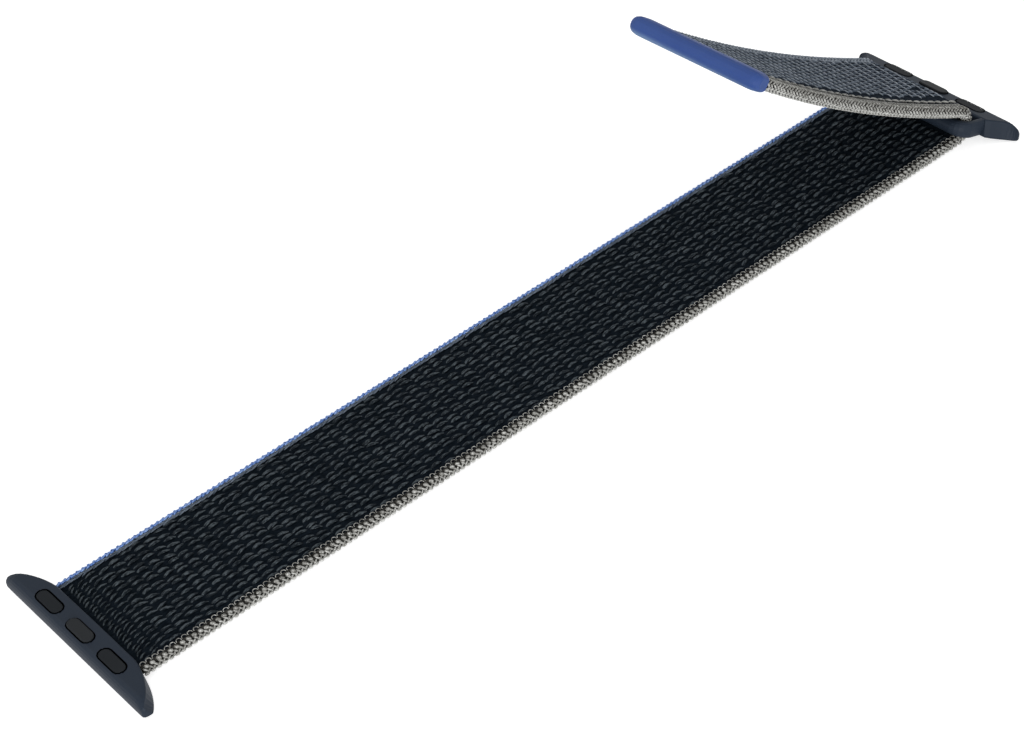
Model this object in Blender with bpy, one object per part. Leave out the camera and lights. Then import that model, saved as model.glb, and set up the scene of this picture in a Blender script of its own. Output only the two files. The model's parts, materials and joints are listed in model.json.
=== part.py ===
"""A hook and loop watch strap: a woven band between two case lugs, closed by its folded tail.

The band lies flat along X with its underside at Z = 0 and its width along Y. The fixed lug is at
the -X end. At the +X end the band turns round the bar of the slotted lug and comes back over
itself as a raised tail that ends in a pull tab. Lengths are in metres.
"""

import math

import bpy
from mathutils import Matrix, Vector

MM = 0.001

# Band
band_width = 22.0 * MM
band_thickness = 2.0 * MM
band_run = 155.0 * MM            # flat run, from the fixed lug's lip to the fold
band_sections = 6
running_gap = 0.3 * MM
root_thickness = 1.2 * MM        # the band is pressed thin where the lug grips it
root_depth = 0.8 * MM
root_taper = 0.7 * MM

# Lugs: both have the same core, which slides into the watch case
lug_length = 34.0 * MM
lug_depth = 4.2 * MM
lug_thickness = 2.8 * MM
nose_length = 1.0 * MM           # how far the top and the underside roll down to the nose
nose_height = 0.6 * MM           # from the underside to the flat land along the nose
nose_land = 0.5 * MM
lug_edge_round = 0.35 * MM
lug_tip_depth = 0.65 * MM
lug_tip_round = 0.45 * MM        # corner of the tip, seen from above
lug_end_roll = 2.4 * MM          # the top and the underside roll down to the tip over this length
end_flare = 0.5 * MM             # the ends lean out toward the underside by this, each way
lip_half_length = 9.6 * MM       # straight part of the fixed lug's lip, each side of the middle
end_power = 1.5                  # roundness of the fixed lug's ends, 2 being an ellipse
hollow_power = 0.75              # how soon the slotted lug's ends fall away from its arms
tip_edge_share = 0.3             # the tip's edge rounding, of the tip's depth
tip_height_share = 0.3           # what the very tip keeps of the height above and below the land
low_edge_share = 0.6             # the most that an edge rounding takes of that height
nose_start_share = 1.3           # where the nose may start, of the edge rounding beside it
mouth_depth = 1.0 * MM

# Slotted lug
bar_radius = 1.25 * MM
bar_clearance = 0.35 * MM
slot_side_clearance = 0.3 * MM
arm_width = 1.3 * MM
arm_drop = 0.05 * MM             # the arms stay this much inside the core's top and underside
arm_corner = 1.9 * MM
arm_power = 3.0                  # squareness of the arms' section, 2 being an ellipse
lug_tilt = math.radians(17.0)

# Pads and latch
pill_length = 5.25 * MM
pill_width = 1.85 * MM
pill_pitch = 7.64 * MM
pill_from_lip = 2.4 * MM
pill_seam = 0.1 * MM             # dark gap round each pill, each side
pad_depth = 0.9 * MM
pad_proud = 0.08 * MM
latch_proud = 0.3 * MM
latch_ledge = 0.7 * MM           # wall of the lug over the latch's flange
flange_thickness = 0.4 * MM
flange_overhang = 0.8 * MM       # at the latch's ends only
plate_thickness = 0.45 * MM
pill_crown = 0.12 * MM

# Latch springs
spring_radius = 0.5 * MM
spring_wire = 0.11 * MM          # radius of the wire
spring_turns = 2.5
spring_spread = 1.9 * MM         # from the latch's middle to each spring
spring_points_per_turn = 10

# Fold and tail
fold_turn = math.radians(153.5)
tail_length = 51.5 * MM          # along the middle, from the fold to the pull tab
tail_end_slope = math.radians(39.5)
tail_skew = 1.7 * MM             # the far edge is longer and the near edge shorter by this
tail_steps = 14
fold_steps = 16
tail_root_length = 4.0 * MM      # the part of the tail that follows the bar as the tail closes
tail_bevel = math.radians(8.0)   # slant of the tail's cut end, which lets it straighten

# Pull tab
tab_width = 23.6 * MM
tab_length = 3.8 * MM
tab_thickness = 2.9 * MM
tab_mouth_depth = 1.4 * MM
tab_end_round = 1.8 * MM
tab_end_share = 0.5              # how much of its section the tab loses at its ends
tab_mouth_round_share = 0.5      # corner beside the band, of half the tab's thickness
tab_nose_round_share = 0.98      # corner of the free nose, of half the tab's thickness
tongue_thickness = 1.1 * MM
tongue_depth = 1.1 * MM

# Hook tape under the tail
hook_width = 18.0 * MM
hook_thickness = 0.55 * MM
hook_start = 7.0 * MM            # from the fold
hook_end_margin = 4.5 * MM       # from the pull tab

# How finely round forms are divided
smooth_angle = math.radians(40.0)
corner_steps = 4
small_corner_steps = 2
edge_steps = 3
nose_steps = 5
end_steps = 11
pill_end_steps = 6
arm_corner_steps = 6
bar_sides = 16
tab_end_steps = 5

# Sizes that follow
fold_inner = bar_radius + bar_clearance
fold_outer = fold_inner + band_thickness
fold_middle = fold_inner + band_thickness / 2
bar_height = fold_outer
slot_wall = fold_outer + running_gap
core_half = lug_depth / 2
pill_place = pill_from_lip - core_half
land_low = nose_height - lug_thickness / 2
land_high = land_low + nose_land
nose_rise = lug_thickness / 2 - land_high
nose_centre = slot_wall + lug_depth - nose_length
nose_reach = nose_centre * math.cos(lug_tilt) + land_high * math.sin(lug_tilt)
nose_reach += math.hypot(nose_length * math.cos(lug_tilt), nose_rise * math.sin(lug_tilt))
overall_length = lug_depth + band_run + nose_reach
lip_x = -overall_length / 2 + lug_depth
fold_x = lip_x + band_run
section_length = band_run / band_sections
bar_point = Vector((fold_x, 0.0, bar_height))


def clear_scene():
    """Remove everything that a new file opens with."""
    for obj in list(bpy.data.objects):
        bpy.data.objects.remove(obj, do_unlink=True)


def finish_material(name, colour, roughness, metallic=0.0):
    """Make a material with one Principled shader."""
    material = bpy.data.materials.new(name)
    material.use_nodes = True
    shader = material.node_tree.nodes["Principled BSDF"]
    shader.inputs["Base Color"].default_value = (*colour, 1.0)
    shader.inputs["Roughness"].default_value = roughness
    shader.inputs["Metallic"].default_value = metallic
    return material


def add_object(name, mesh, parent=None, material=None):
    """Put a mesh in the scene as a named object under an optional parent."""
    obj = bpy.data.objects.new(name, mesh)
    bpy.context.scene.collection.objects.link(obj)
    obj.parent = parent
    if material:
        mesh.materials.append(material)
    return obj


def add_frame(name, matrix):
    """Add an empty that carries the pieces of one moving group."""
    empty = bpy.data.objects.new(name, None)
    bpy.context.scene.collection.objects.link(empty)
    empty.matrix_world = matrix
    return empty


def loft(name, sections, smooth=False):
    """Skin a row of equal closed sections and cap both ends."""
    count = len(sections[0])
    verts = [tuple(point) for section in sections for point in section]
    faces = [list(range(count))[::-1]]
    for i in range(len(sections) - 1):
        low = i * count
        high = low + count
        for j in range(count):
            k = (j + 1) % count
            faces.append([low + j, low + k, high + k, high + j])
    last = (len(sections) - 1) * count
    faces.append([last + j for j in range(count)])
    mesh = bpy.data.meshes.new(name)
    mesh.from_pydata(verts, [], faces)
    mesh.validate()
    turn_outward(mesh)
    if smooth:
        mesh.shade_smooth()
        mesh.set_sharp_from_angle(angle=smooth_angle)
    return mesh


def turn_outward(mesh):
    """Flip the faces of a closed mesh whose volume reads negative."""
    volume = 0.0
    for polygon in mesh.polygons:
        corners = [mesh.vertices[i].co for i in polygon.vertices]
        for i in range(1, len(corners) - 1):
            volume += corners[0].dot(corners[i].cross(corners[i + 1]))
    if volume < 0.0:
        mesh.flip_normals()


def arc(centre, radius, start, end, steps):
    """Points along an arc in a plane, as (u, v) pairs."""
    points = []
    for i in range(steps + 1):
        angle = start + (end - start) * i / steps
        points.append((centre[0] + radius * math.cos(angle), centre[1] + radius * math.sin(angle)))
    return points


def rounded_box_section(low, high, bottom, top, low_round, high_round, steps=corner_steps):
    """Outline of a rectangle whose corners at its low and high side have their own radii."""
    quarter = math.pi / 2
    corners = [
        ((high - high_round, top - high_round), high_round, 0.0),
        ((low + low_round, top - low_round), low_round, quarter),
        ((low + low_round, bottom + low_round), low_round, 2 * quarter),
        ((high - high_round, bottom + high_round), high_round, 3 * quarter),
    ]
    outline = []
    for centre, radius, start in corners:
        outline += arc(centre, radius, start, start + quarter, steps)
    return outline


def pill_outline(length, width):
    """Outline of a bar with round ends, long in Y."""
    radius = width / 2
    straight = length / 2 - radius
    outline = arc((pill_place, straight), radius, 0.0, math.pi, pill_end_steps)
    outline += arc((pill_place, -straight), radius, math.pi, 2 * math.pi, pill_end_steps)
    return outline


def cut(obj, cutter):
    """Cut one solid out of another and keep the cutter as a hidden guide."""
    cutter.hide_render = True
    cutter.display_type = "WIRE"
    modifier = obj.modifiers.new(f"cut by {cutter.name}", "BOOLEAN")
    modifier.operation = "DIFFERENCE"
    modifier.object = cutter


def join(obj, other):
    """Weld another solid onto this one and keep the other as a hidden guide."""
    other.hide_render = True
    other.display_type = "WIRE"
    modifier = obj.modifiers.new(f"joined with {other.name}", "BOOLEAN")
    modifier.operation = "UNION"
    modifier.object = other


def pill_stack(name, levels, parent, material=None):
    """A pill-shaped solid through levels of height, length and width."""
    sections = []
    for height, length, width in levels:
        sections.append([(x, y, height) for x, y in pill_outline(length, width)])
    return add_object(name, loft(name, sections, smooth=True), parent, material)


def pill_cutter(name, margin, bottom, top, parent):
    """A straight pill-shaped cutter, longer than the pill by a margin at each end."""
    length = pill_length + 2 * (pill_seam + margin)
    width = pill_width + 2 * pill_seam
    return pill_stack(name, [(bottom, length, width), (top, length, width)], parent)


def fixed_strap_side(y):
    """Strap side of the fixed lug's core at a place along its length."""
    span = lug_length / 2 - lip_half_length
    beyond = max(0.0, abs(y) - lip_half_length) / span
    share = (1.0 - min(1.0, beyond) ** end_power) ** (1.0 / end_power)
    return core_half - lug_tip_depth - (lug_depth - lug_tip_depth) * share


def slotted_strap_side(y):
    """Strap side of the slotted lug's core, hollowed between the arms and the tips."""
    arm_outside = band_width / 2 + slot_side_clearance + arm_width
    span = lug_length / 2 - arm_outside
    beyond = min(1.0, max(0.0, abs(y) - arm_outside) / span)
    share = (1.0 + math.cos(math.pi * beyond ** hollow_power)) / 2
    return core_half - lug_tip_depth - (lug_depth - lug_tip_depth) * share


def half_core_section(low, high, land, rise):
    """Upper or lower half of a lug's section, from the strap side to the end of the nose's land."""
    nose_start = high - nose_length
    edge = min(lug_edge_round, (high - low) * tip_edge_share, abs(rise) * low_edge_share)

    def level(x):
        return land + rise * math.sqrt(1.0 - max(0.0, (x - nose_start) / nose_length) ** 2)

    outline = []
    for i in range(edge_steps + 1):
        turn = math.pi / 2 * i / edge_steps
        x = low + edge * (1.0 - math.cos(turn))
        outline.append((x, level(x) - math.copysign(edge, rise) * (1.0 - math.sin(turn))))
    first_x = low + edge * nose_start_share
    first_turn = math.acos(max(0.0, (first_x - nose_start) / nose_length))
    for i in range(nose_steps):
        turn = first_turn * (1.0 - i / nose_steps)
        outline.append((nose_start + nose_length * math.cos(turn), land + rise * math.sin(turn)))
    outline.append((high, land))
    return outline


def height_share(y):
    """How much of its height over the land a lug keeps at a place along its length."""
    past = min(1.0, max(0.0, abs(y) - lug_length / 2 + lug_end_roll) / lug_end_roll)
    return tip_height_share + (1.0 - tip_height_share) * math.sqrt(1.0 - past ** 2)


def lug_core(name, strap_side, straight_half, parent, material):
    """The part of a lug that slides into the case, lofted along its length."""
    half = lug_length / 2
    stations = [0.0]
    for i in range(end_steps + 1):
        ease = math.sin(math.pi / 2 * i / end_steps)
        stations.append(straight_half + (half - straight_half) * ease)
    stations = [-y for y in reversed(stations[1:])] + stations
    sections = []
    for y in stations:
        past = max(0.0, abs(y) - half + lug_tip_round)
        high = core_half - lug_tip_round + math.sqrt(lug_tip_round ** 2 - past ** 2)
        low_upper = strap_side(abs(y) + end_flare)
        low_lower = strap_side(max(0.0, abs(y) - end_flare))
        upper = half_core_section(low_upper, high, land_high, nose_rise * height_share(y))
        lower = half_core_section(low_lower, high, land_low, -nose_height * height_share(y))
        sections.append([(x, y, z) for x, z in upper + lower[::-1]])
    return add_object(name, loft(name, sections, smooth=True), parent, material)


def cut_latch_pocket(body, parent):
    """Open the pill window over the latch and the longer pocket under it."""
    name = body.name
    cut(body, pill_cutter(f"{name}_latch_window", 0.0, -lug_thickness, lug_thickness, parent))
    ledge = lug_thickness / 2 - latch_ledge
    margin = flange_overhang + running_gap / 2
    cut(body, pill_cutter(f"{name}_latch_pocket", margin, -lug_thickness, ledge, parent))


def cut_pad_pockets(body, parent):
    """Sink the two pad pockets, closed at the bottom."""
    floor = lug_thickness / 2 - pad_depth - running_gap
    for side, sign in (("far", 1.0), ("near", -1.0)):
        pocket = pill_cutter(f"{body.name}_{side}_pad_pocket", 0.0, floor, lug_thickness, parent)
        pocket.location.y = sign * pill_pitch
        cut(body, pocket)


def crowned_levels(bottom, top):
    """Levels of a pill whose upper edge is drawn in by its crown."""
    return [
        (bottom, pill_length, pill_width),
        (top - pill_crown, pill_length, pill_width),
        (top, pill_length - 2 * pill_crown, pill_width - 2 * pill_crown),
    ]


def add_pads(prefix, parent, material):
    """The two elastomer pads, each in its pocket."""
    levels = crowned_levels(lug_thickness / 2 - pad_depth, lug_thickness / 2 + pad_proud)
    for side, sign in (("far", 1.0), ("near", -1.0)):
        pad = pill_stack(f"{prefix}_{side}_pad", levels, parent, material)
        pad.location.y = sign * pill_pitch


def latch_flange_top():
    """Height at which the latch's flange rests under the lug's ledge."""
    return lug_thickness / 2 - latch_ledge - running_gap / 2


def add_latch(prefix, parent, material):
    """The sprung latch: a pill that stands proud, on a longer flange that the ledge stops."""
    flange_top = latch_flange_top()
    flange_length = pill_length + 2 * flange_overhang
    levels = [
        (flange_top - flange_thickness, flange_length, pill_width),
        (flange_top, flange_length, pill_width),
    ]
    levels += crowned_levels(flange_top, lug_thickness / 2 + latch_proud)
    return pill_stack(f"{prefix}_latch", levels, parent, material)


def add_closing_plate(prefix, parent, material):
    """The plate that closes the pocket from the underside and carries the springs."""
    bottom = -lug_thickness / 2
    length = pill_length + 2 * flange_overhang
    levels = [(bottom, length, pill_width), (bottom + plate_thickness, length, pill_width)]
    return pill_stack(f"{prefix}_closing_plate", levels, parent, material)


def add_springs(prefix, parent, material):
    """The two compression springs between the closing plate and the latch's flange."""
    low = -lug_thickness / 2 + plate_thickness + spring_wire + running_gap / 2
    high = latch_flange_top() - flange_thickness - spring_wire - running_gap / 2
    steps = int(spring_turns * spring_points_per_turn)
    for side, sign in (("far", 1.0), ("near", -1.0)):
        name = f"{prefix}_{side}_spring"
        curve = bpy.data.curves.new(name, "CURVE")
        curve.dimensions = "3D"
        curve.bevel_depth = spring_wire
        curve.bevel_resolution = 1
        curve.use_fill_caps = True
        spline = curve.splines.new("POLY")
        spline.points.add(steps)
        for i, point in enumerate(spline.points):
            share = i / steps
            angle = 2 * math.pi * spring_turns * share
            point.co = (
                spring_radius * math.cos(angle), spring_radius * math.sin(angle),
                low + (high - low) * share, 1.0,
            )
        curve.materials.append(material)
        spring = bpy.data.objects.new(name, curve)
        bpy.context.scene.collection.objects.link(spring)
        spring.parent = parent
        spring.location = (pill_place, sign * spring_spread, 0.0)


def add_fixed_lug(parent, materials):
    """The lug that grips the root of the band in a mouth along its lip."""
    body = lug_core("fixed_lug_body", fixed_strap_side, lip_half_length, parent, materials["lug"])
    mouth_height = root_thickness + 2 * running_gap
    middle = band_thickness / 2 - lug_thickness / 2
    outline = rounded_box_section(
        -core_half - mouth_depth, -core_half + mouth_depth,
        middle - mouth_height / 2, middle + mouth_height / 2,
        lug_edge_round, lug_edge_round, steps=small_corner_steps,
    )
    half = band_width / 2 + running_gap
    mouth = add_object(
        "fixed_lug_mouth_cutter", loft("mouth", [[(x, y, z) for x, z in outline] for y in (-half, half)]),
        parent,
    )
    cut_pad_pockets(body, parent)
    cut_latch_pocket(body, parent)
    cut(body, mouth)


def slot_frame_path():
    """Middle line of the arms and the bar: places, headings and how much of the bar is reached."""
    middle = band_width / 2 + slot_side_clearance + arm_width / 2
    corner_x = arm_corner - core_half - slot_wall
    path = [(lug_edge_round - core_half, middle, math.pi, 0.0)]
    for i in range(arm_corner_steps + 1):
        turn = math.pi / 2 * i / arm_corner_steps
        x = corner_x - arm_corner * math.sin(turn)
        y = middle - arm_corner + arm_corner * math.cos(turn)
        path.append((x, y, math.pi + turn, i / arm_corner_steps))
    return path + [(x, -y, 3 * math.pi - heading, share) for x, y, heading, share in reversed(path)]


def slot_frame_sections():
    """Sections of the arms and the bar, swept along a U from the core and back to it."""
    arm_height = lug_thickness / 2 - arm_drop
    sections = []
    for x, y, heading, bar_share in slot_frame_path():
        half_width = arm_width / 2 + (bar_radius - arm_width / 2) * bar_share
        half_height = arm_height + (bar_radius - arm_height) * bar_share
        power = 2.0 / (arm_power + (2.0 - arm_power) * bar_share)
        section = []
        for i in range(bar_sides):
            turn = 2 * math.pi * i / bar_sides
            offset = half_width * math.copysign(abs(math.cos(turn)) ** power, math.cos(turn))
            height = half_height * math.copysign(abs(math.sin(turn)) ** power, math.sin(turn))
            section.append((x - math.sin(heading) * offset, y + math.cos(heading) * offset, height))
        sections.append(section)
    return sections


def add_slotted_lug(parent, materials):
    """The lug whose slot the band passes through, with the bar that the band turns round."""
    arm_outside = band_width / 2 + slot_side_clearance + arm_width
    body = lug_core("slotted_lug_body", slotted_strap_side, arm_outside, parent, materials["lug"])
    frame = add_object("slot_frame", loft("slot_frame", slot_frame_sections()), parent)
    join(body, frame)
    cut_pad_pockets(body, parent)
    cut_latch_pocket(body, parent)


def dress_lug(prefix, parent, materials):
    """Add the pads, latch, springs and closing plate that both lugs share."""
    add_pads(prefix, parent, materials["elastomer"])
    add_latch(prefix, parent, materials["elastomer"])
    add_closing_plate(prefix, parent, materials["steel"])
    add_springs(prefix, parent, materials["steel"])


def band_profile(name, profile, material):
    """Extrude an outline in XZ across the band's width."""
    sections = [[(x, y, z) for x, z in profile] for y in (-band_width / 2, band_width / 2)]
    return add_object(name, loft(name, sections), None, material)


def add_band_root(material):
    """The pressed end of the band inside the fixed lug's mouth."""
    middle = band_thickness / 2
    inner = lip_x - root_depth
    outline = rounded_box_section(
        inner, lip_x, middle - root_thickness / 2, middle + root_thickness / 2,
        lug_edge_round / 2, lug_edge_round / 2, steps=small_corner_steps,
    )
    return band_profile("band_root", outline, material)


def add_band_sections(material):
    """The flat run, divided where it bends; the first section thins toward the lug."""
    for i in range(band_sections):
        low = lip_x + section_length * i + running_gap / 2
        high = lip_x + section_length * (i + 1) - running_gap / 2
        outline = [(low, 0.0), (high, 0.0), (high, band_thickness), (low, band_thickness)]
        if i == 0:
            thin = (band_thickness - root_thickness) / 2
            thin_x = low + running_gap / 2
            outline[0] = (low + root_taper, 0.0)
            outline[-1] = (low + root_taper, band_thickness)
            outline += [(thin_x, band_thickness - thin), (thin_x, thin)]
        band_profile(f"band_section_{i + 1}", outline, material)


def add_band_fold(material):
    """The band's turn round the slot bar."""
    start = -math.pi / 2
    first = start + running_gap / 2 / fold_outer
    end = start + fold_turn
    centre = (bar_point.x, bar_point.z)
    outline = arc(centre, fold_outer, first, end, fold_steps)
    outline += arc(centre, fold_inner, end, first, fold_steps)
    return band_profile("band_fold", outline, material)


def tail_point(distance, length, offset):
    """Place on the tail, a distance along it and an offset above its middle layer."""
    start_slope = math.pi - fold_turn
    bend = (tail_end_slope - start_slope) / length
    slope = start_slope + bend * distance
    outward = fold_turn - math.pi / 2
    x = bar_point.x + fold_middle * math.cos(outward)
    z = bar_point.z + fold_middle * math.sin(outward)
    x -= (math.sin(slope) - math.sin(start_slope)) / bend
    z += (math.cos(start_slope) - math.cos(slope)) / bend
    return Vector((x + offset * math.sin(slope), 0.0, z + offset * math.cos(slope)))


def tail_strip(name, start, end, bottom, top, half_width, material, tongue=False, start_slant=0.0,
               steps=tail_steps):
    """A strip that follows the tail between two distances, longer at the far edge."""
    sections = []
    for y in (-half_width, half_width):
        length = tail_length + tail_skew * y / (band_width / 2)
        scale = length / tail_length
        upper = []
        lower = []
        for i in range(steps + 1):
            share = i / steps
            place = (start + (end - start) * share) * scale
            slant = start_slant * (1.0 - share)
            upper.append(tail_point(place, length, top))
            lower.append(tail_point(place + slant, length, bottom))
        outline = lower + upper[::-1]
        if tongue:
            half = tongue_thickness / 2
            mouth_end = end * scale + tongue_depth
            tip = [tail_point(end * scale, length, -half), tail_point(mouth_end, length, -half),
                   tail_point(mouth_end, length, half), tail_point(end * scale, length, half)]
            outline = lower + tip + upper[::-1]
        for point in outline:
            point.y = y
        sections.append(outline)
    return add_object(name, loft(name, sections), None, material)


def add_tail(materials):
    """The tail of the band, its tongue for the pull tab, and the hook tape under it."""
    slant = band_thickness * math.tan(tail_bevel)
    half = band_thickness / 2
    root_end = tail_root_length - running_gap / 2
    tail_strip(
        "band_tail_root", running_gap, root_end, -half, half, band_width / 2, materials["tail"], steps=1,
    )
    tail_strip(
        "band_tail", root_end + running_gap, tail_length - running_gap, -half, half, band_width / 2,
        materials["tail"], tongue=True, start_slant=slant,
    )
    hook_top = -half - running_gap
    tail_strip(
        "hook_tape", hook_start, tail_length - hook_end_margin, hook_top - hook_thickness, hook_top,
        hook_width / 2, materials["hooks"],
    )


def tab_frame():
    """Frame of the pull tab: X along its width, Y along the tail, Z out of the tail's face."""
    ends = []
    for sign in (-1.0, 1.0):
        point = tail_point(tail_length + sign * tail_skew, tail_length + sign * tail_skew, 0.0)
        point.y = sign * band_width / 2
        ends.append(point)
    across = (ends[1] - ends[0]).normalized()
    normal = Vector((math.sin(tail_end_slope), 0.0, math.cos(tail_end_slope)))
    normal = (normal - across * normal.dot(across)).normalized()
    along = normal.cross(across)
    middle = (ends[0] + ends[1]) / 2
    frame = Matrix.Identity(4)
    for column, axis in enumerate((across, along, normal)):
        for row in range(3):
            frame[row][column] = axis[row]
    frame.translation = middle
    return frame


def add_pull_tab(material):
    """The moulded tab, with a round nose and a mouth for the band's tongue."""
    parent = add_frame("pull_tab_frame", tab_frame())
    straight = tab_width / 2 - tab_end_round
    stations = []
    for i in range(tab_end_steps + 1):
        turn = math.pi / 2 * i / tab_end_steps
        scale = 1.0 - tab_end_share * (1.0 - math.cos(turn))
        stations.append((straight + tab_end_round * math.sin(turn), scale))
    stations = [(-x, scale) for x, scale in reversed(stations)] + stations
    sections = []
    for x, scale in stations:
        reach = tab_length / 2 * scale
        height = tab_thickness / 2 * scale
        outline = rounded_box_section(
            tab_length / 2 - reach, tab_length / 2 + reach, -height, height,
            height * tab_mouth_round_share, height * tab_nose_round_share,
        )
        sections.append([(x, y, z) for y, z in outline])
    tab = add_object("pull_tab", loft("pull_tab", sections, smooth=True), parent, material)
    gap_height = tongue_thickness / 2 + running_gap
    outline = rounded_box_section(
        -tab_mouth_depth, tab_mouth_depth, -gap_height, gap_height,
        tongue_thickness / 4, tongue_thickness / 4, steps=small_corner_steps,
    )
    reach = band_width / 2 + running_gap
    sections = [[(x, y, z) for y, z in outline] for x in (-reach, reach)]
    mouth = add_object("pull_tab_mouth_cutter", loft("tab_mouth", sections), parent)
    cut(tab, mouth)


def make_materials():
    """The finishes of the object."""
    return {
        "lug": finish_material("anodised lug", (0.030, 0.041, 0.058), 0.42, 0.35),
        "elastomer": finish_material("dark elastomer", (0.024, 0.029, 0.033), 0.6),
        "steel": finish_material("spring steel", (0.55, 0.56, 0.58), 0.35, 1.0),
        "band": finish_material("navy woven loops", (0.006, 0.009, 0.014), 0.9),
        "tail": finish_material("grey-blue weave", (0.06, 0.08, 0.11), 0.9),
        "hooks": finish_material("hook tape", (0.02, 0.025, 0.035), 0.8),
        "tab": finish_material("blue pull tab", (0.045, 0.105, 0.27), 0.45),
    }


def build():
    """Build the strap."""
    clear_scene()
    materials = make_materials()
    fixed_place = Matrix.Translation((lip_x - core_half, 0.0, lug_thickness / 2))
    fixed = add_frame("fixed_lug_frame", fixed_place @ Matrix.Rotation(math.pi, 4, "Z"))
    add_fixed_lug(fixed, materials)
    dress_lug("fixed_lug", fixed, materials)
    swivel = Matrix.Translation(bar_point) @ Matrix.Rotation(lug_tilt, 4, "Y")
    slotted = add_frame("slotted_lug_frame", swivel @ Matrix.Translation((slot_wall + core_half, 0.0, 0.0)))
    add_slotted_lug(slotted, materials)
    dress_lug("slotted_lug", slotted, materials)
    add_band_root(materials["band"])
    add_band_sections(materials["band"])
    add_band_fold(materials["band"])
    add_tail(materials)
    add_pull_tab(materials["tab"])


build()
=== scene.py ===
"""Hook and loop watch strap: woven band, two lugs, raised tail and pull tab, dressed for a studio view."""

import json
import logging
import random
from dataclasses import dataclass, field
from enum import Enum
from math import atan2, cos, pi, radians, sin, tan
from typing import Optional, Sequence

import bmesh
import bpy
from bmesh.types import BMesh
from bpy.types import Material, Mesh, NodeSocket, Object
from mathutils import Matrix, Vector, geometry


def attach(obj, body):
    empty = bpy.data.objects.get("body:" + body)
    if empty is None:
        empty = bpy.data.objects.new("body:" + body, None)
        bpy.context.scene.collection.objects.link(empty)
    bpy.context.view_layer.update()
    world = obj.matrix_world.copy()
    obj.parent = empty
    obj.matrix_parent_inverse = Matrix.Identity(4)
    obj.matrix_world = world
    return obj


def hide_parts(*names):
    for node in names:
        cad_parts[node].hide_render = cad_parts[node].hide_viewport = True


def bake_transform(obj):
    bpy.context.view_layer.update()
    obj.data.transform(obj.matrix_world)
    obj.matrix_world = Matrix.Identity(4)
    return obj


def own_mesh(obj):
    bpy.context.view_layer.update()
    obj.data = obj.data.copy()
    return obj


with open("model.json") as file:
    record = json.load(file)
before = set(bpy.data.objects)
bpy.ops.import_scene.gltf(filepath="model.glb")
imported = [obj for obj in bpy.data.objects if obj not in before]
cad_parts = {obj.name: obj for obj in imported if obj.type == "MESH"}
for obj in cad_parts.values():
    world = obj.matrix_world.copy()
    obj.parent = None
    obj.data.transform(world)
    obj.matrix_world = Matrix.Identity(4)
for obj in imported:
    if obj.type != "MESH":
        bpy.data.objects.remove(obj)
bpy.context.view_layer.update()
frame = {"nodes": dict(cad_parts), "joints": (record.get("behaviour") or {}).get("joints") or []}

LOG = logging.getLogger("watch_strap")
MM = 0.001
JOINTS = {joint["name"]: joint for joint in frame["joints"]}
NODES = frame["nodes"]
SECTIONS = 6
RUN_STRETCHES = 7
PLY_GROOVE = 0.14
Triple = tuple[float, float, float]


class Edge(Enum):
    """The two edges of the band, as the sign of Y."""

    NEAR = -1.0
    FAR = 1.0


class Lay(Enum):
    """The names of the attributes that tell a material how a stitch lies."""

    PLACE = "stitch_place"
    TONE = "stitch_tone"


def add_object(name: str, data: bpy.types.ID) -> Object:
    """Put new data into the scene as an object."""
    made = bpy.data.objects.new(name, data)
    bpy.context.scene.collection.objects.link(made)
    return made


def add_mesh(name: str, shape: BMesh, *materials: Material) -> Object:
    """Put a mesh into the scene as an object.

    Args:
        name: The object's name.
        shape: The mesh, which is freed.
        *materials: Its materials, in the order of its faces' numbers.

    Returns:
        The object.
    """
    mesh = bpy.data.meshes.new(name)
    shape.to_mesh(mesh)
    shape.free()
    for material in materials:
        mesh.materials.append(material)
    LOG.info("%s: %d faces", name, len(mesh.polygons))
    return add_object(name, mesh)


# Materials


class NodeSheet:
    """A small helper that fills a node tree."""

    def __init__(self, tree: bpy.types.NodeTree) -> None:
        """Keep the tree that the nodes go into."""
        self.tree = tree

    def node(self, kind: str, inputs: Optional[dict] = None, **settings: object) -> bpy.types.Node:
        """Add a node, set its properties, and set or link its inputs.

        Args:
            kind: The node's type name.
            inputs: Values or output sockets for the node's input sockets, by name or number.
            **settings: Properties of the node.

        Returns:
            The new node.
        """
        made = self.tree.nodes.new(kind)
        for key, value in settings.items():
            setattr(made, key, value)
        for key, value in (inputs or {}).items():
            if isinstance(value, NodeSocket):
                self.link(value, made.inputs[key])
            else:
                made.inputs[key].default_value = value
        return made

    def link(self, source: NodeSocket, target: NodeSocket) -> None:
        """Join an output to an input."""
        self.tree.links.new(source, target)

    def maths(self, operation: str, first: object, second: object = 0.0,
              third: object = 0.0, clamp: bool = False) -> NodeSocket:
        """The result of a Math node on up to three sockets or numbers, kept in 0 to 1 if clamped."""
        return self.node("ShaderNodeMath", {0: first, 1: second, 2: third}, operation=operation,
                         use_clamp=clamp).outputs[0]

    def seen(self) -> NodeSocket:
        """1 for rays from the camera, also by reflection or through glass, and 0 for the light on surfaces."""
        rays = self.node("ShaderNodeLightPath").outputs
        indirect = self.maths("MAXIMUM", rays["Is Glossy Ray"], rays["Is Transmission Ray"])
        return self.maths("MAXIMUM", rays["Is Camera Ray"], indirect)


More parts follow.
